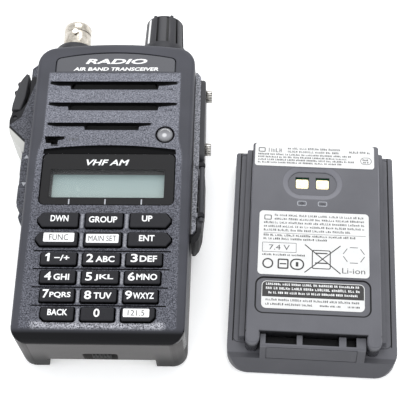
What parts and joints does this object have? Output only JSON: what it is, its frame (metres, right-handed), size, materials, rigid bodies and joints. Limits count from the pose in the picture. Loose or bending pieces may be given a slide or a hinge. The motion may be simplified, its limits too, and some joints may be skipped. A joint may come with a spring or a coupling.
{
  "type": "handheld aviation radio",
  "caption": "Compact handheld airband transceiver lying on its back: keypad, display, speaker slots, bayonet antenna connector, volume knob, side keys, and its battery pack taken off beside it",
  "frame": {"origin": "centre of the radio's back rim, in the plane the radio rests on", "axes": "X right across the front face, Y toward the antenna connector, Z out of the front face"},
  "size_m": [0.127, 0.1246, 0.025],
  "materials": {
    "case_plastic": "satin moulded, textured field",
    "chassis_plastic": "fine moulded texture",
    "seal_rubber": "soft black",
    "plate_plastic": "smooth satin",
    "window": "clear, black printed border",
    "lcd": "pale grey-green panel",
    "white_plastic": "white light guide",
    "steel": "plain",
    "cloth": "black acoustic cloth",
    "cone": "pressed paper",
    "lens": "clear grey, glossy",
    "board": "green board",
    "key_rubber": "near-black silicone",
    "nickel": "bright nickel",
    "ptfe": "white insulator",
    "gold": "gold plated",
    "alloy": "turned",
    "knob_plastic": "satin, ribbed",
    "black_plastic": "black moulded",
    "pack_plastic": "slate grey moulded",
    "cell": "wrapped cells",
    "label": "printed film"
  },
  "bodies": {
    "radio": {"front_case": "case_plastic", "rear_chassis": "chassis_plastic", "case_seal": "seal_rubber", "brand_plate": "plate_plastic", "display_window": "window", "lcd_panel": "lcd", "lcd_backlight": "white_plastic", "speaker_frame": "steel", "speaker_cone": "cone", "speaker_mesh": "cloth", "mic_element": "steel", "indicator_lens": "lens", "key_board": "board", "keypad_mat": "key_rubber", "main_pcb": "board", "shield_cans": "steel", "case_screws": "steel", "clip_inserts": "gold", "antenna_connector": "nickel", "antenna_insulator": "ptfe", "antenna_contact": "gold", "volume_control": "alloy", "side_switches": "black_plastic", "jack_block": "black_plastic", "jack_cover": "black_plastic", "jack_screws": "steel", "dc_jack": "black_plastic", "battery_terminals": "gold"},
    "key_down_cap": {"key_down": "key_rubber"},
    "key_group_cap": {"key_group": "key_rubber"},
    "key_up_cap": {"key_up": "key_rubber"},
    "key_function_cap": {"key_function": "key_rubber"},
    "key_main_set_cap": {"key_main_set": "key_rubber"},
    "key_enter_cap": {"key_enter": "key_rubber"},
    "key_1_cap": {"key_1": "key_rubber"},
    "key_2_cap": {"key_2": "key_rubber"},
    "key_3_cap": {"key_3": "key_rubber"},
    "key_4_cap": {"key_4": "key_rubber"},
    "key_5_cap": {"key_5": "key_rubber"},
    "key_6_cap": {"key_6": "key_rubber"},
    "key_7_cap": {"key_7": "key_rubber"},
    "key_8_cap": {"key_8": "key_rubber"},
    "key_9_cap": {"key_9": "key_rubber"},
    "key_back_cap": {"key_back": "key_rubber"},
    "key_0_cap": {"key_0": "key_rubber"},
    "key_emergency_cap": {"key_emergency": "key_rubber"},
    "knob": {"volume_knob": "knob_plastic", "knob_shaft": "alloy"},
    "ptt": {"ptt_lever": "key_rubber"},
    "side_key_up_cap": {"side_key_up": "key_rubber"},
    "side_key_down_cap": {"side_key_down": "key_rubber"},
    "inlet_cap": {"dc_cap": "key_rubber"},
    "latch": {"latch_tab": "black_plastic", "latch_plate": "steel"},
    "battery_pack": {"pack_shell": "pack_plastic", "pack_block": "pack_plastic", "pack_cells": "cell", "pack_pcb": "board", "pack_contacts": "gold", "pack_labels": "label"}
  },
  "joints": [
    {"name": "key_down_press", "type": "slide", "parent": "radio", "child": "key_down_cap", "axis": [0, 0, -1], "range_m": [0, 0.0006], "stiffness_N_per_m": 1200, "springref_m": -0.0003},
    {"name": "key_group_press", "type": "slide", "parent": "radio", "child": "key_group_cap", "axis": [0, 0, -1], "range_m": [0, 0.0006], "stiffness_N_per_m": 1200, "springref_m": -0.0003},
    {"name": "key_up_press", "type": "slide", "parent": "radio", "child": "key_up_cap", "axis": [0, 0, -1], "range_m": [0, 0.0006], "stiffness_N_per_m": 1200, "springref_m": -0.0003},
    {"name": "key_function_press", "type": "slide", "parent": "radio", "child": "key_function_cap", "axis": [0, 0, -1], "range_m": [0, 0.0006], "stiffness_N_per_m": 1200, "springref_m": -0.0003},
    {"name": "key_main_set_press", "type": "slide", "parent": "radio", "child": "key_main_set_cap", "axis": [0, 0, -1], "range_m": [0, 0.0006], "stiffness_N_per_m": 1200, "springref_m": -0.0003},
    {"name": "key_enter_press", "type": "slide", "parent": "radio", "child": "key_enter_cap", "axis": [0, 0, -1], "range_m": [0, 0.0006], "stiffness_N_per_m": 1200, "springref_m": -0.0003},
    {"name": "key_1_press", "type": "slide", "parent": "radio", "child": "key_1_cap", "axis": [0, 0, -1], "range_m": [0, 0.0006], "stiffness_N_per_m": 1200, "springref_m": -0.0003},
    {"name": "key_2_press", "type": "slide", "parent": "radio", "child": "key_2_cap", "axis": [0, 0, -1], "range_m": [0, 0.0006], "stiffness_N_per_m": 1200, "springref_m": -0.0003},
    {"name": "key_3_press", "type": "slide", "parent": "radio", "child": "key_3_cap", "axis": [0, 0, -1], "range_m": [0, 0.0006], "stiffness_N_per_m": 1200, "springref_m": -0.0003},
    {"name": "key_4_press", "type": "slide", "parent": "radio", "child": "key_4_cap", "axis": [0, 0, -1], "range_m": [0, 0.0006], "stiffness_N_per_m": 1200, "springref_m": -0.0003},
    {"name": "key_5_press", "type": "slide", "parent": "radio", "child": "key_5_cap", "axis": [0, 0, -1], "range_m": [0, 0.0006], "stiffness_N_per_m": 1200, "springref_m": -0.0003},
    {"name": "key_6_press", "type": "slide", "parent": "radio", "child": "key_6_cap", "axis": [0, 0, -1], "range_m": [0, 0.0006], "stiffness_N_per_m": 1200, "springref_m": -0.0003},
    {"name": "key_7_press", "type": "slide", "parent": "radio", "child": "key_7_cap", "axis": [0, 0, -1], "range_m": [0, 0.0006], "stiffness_N_per_m": 1200, "springref_m": -0.0003},
    {"name": "key_8_press", "type": "slide", "parent": "radio", "child": "key_8_cap", "axis": [0, 0, -1], "range_m": [0, 0.0006], "stiffness_N_per_m": 1200, "springref_m": -0.0003},
    {"name": "key_9_press", "type": "slide", "parent": "radio", "child": "key_9_cap", "axis": [0, 0, -1], "range_m": [0, 0.0006], "stiffness_N_per_m": 1200, "springref_m": -0.0003},
    {"name": "key_back_press", "type": "slide", "parent": "radio", "child": "key_back_cap", "axis": [0, 0, -1], "range_m": [0, 0.0006], "stiffness_N_per_m": 1200, "springref_m": -0.0003},
    {"name": "key_0_press", "type": "slide", "parent": "radio", "child": "key_0_cap", "axis": [0, 0, -1], "range_m": [0, 0.0006], "stiffness_N_per_m": 1200, "springref_m": -0.0003},
    {"name": "key_emergency_press", "type": "slide", "parent": "radio", "child": "key_emergency_cap", "axis": [0, 0, -1], "range_m": [0, 0.0006], "stiffness_N_per_m": 1200, "springref_m": -0.0003},
    {"name": "volume_turn", "type": "hinge", "parent": "radio", "child": "knob", "pos_m": [0.0147, 0.06, 0.012], "axis": [0, -1, 0], "range_deg": [0, 270]},
    {"name": "ptt_squeeze", "type": "hinge", "parent": "radio", "child": "ptt", "pos_m": [-0.0334, 0.0276, 0.0105], "axis": [0, 0, -1], "range_deg": [0, 2], "stiffness_Nm_per_rad": 1.2, "springref_deg": -0.57},
    {"name": "side_key_up_press", "type": "slide", "parent": "radio", "child": "side_key_up_cap", "axis": [1, 0, 0], "range_m": [0, 0.0005], "stiffness_N_per_m": 1500, "springref_m": -0.0003},
    {"name": "side_key_down_press", "type": "slide", "parent": "radio", "child": "side_key_down_cap", "axis": [1, 0, 0], "range_m": [0, 0.0005], "stiffness_N_per_m": 1500, "springref_m": -0.0003},
    {"name": "inlet_cap_open", "type": "hinge", "parent": "radio", "child": "inlet_cap", "pos_m": [0.0293, 0, 0.017], "axis": [0, -1, 0], "range_deg": [0, 95]},
    {"name": "latch_slide", "type": "slide", "parent": "radio", "child": "latch", "axis": [-1, 0, 0], "range_m": [0, 0.0022], "stiffness_N_per_m": 700, "springref_m": -0.001},
    {"name": "battery_pack_lift", "type": "slide", "parent": "radio", "child": "battery_pack", "axis": [0, 0, 1], "range_m": [0, 0.06]}
  ]
}
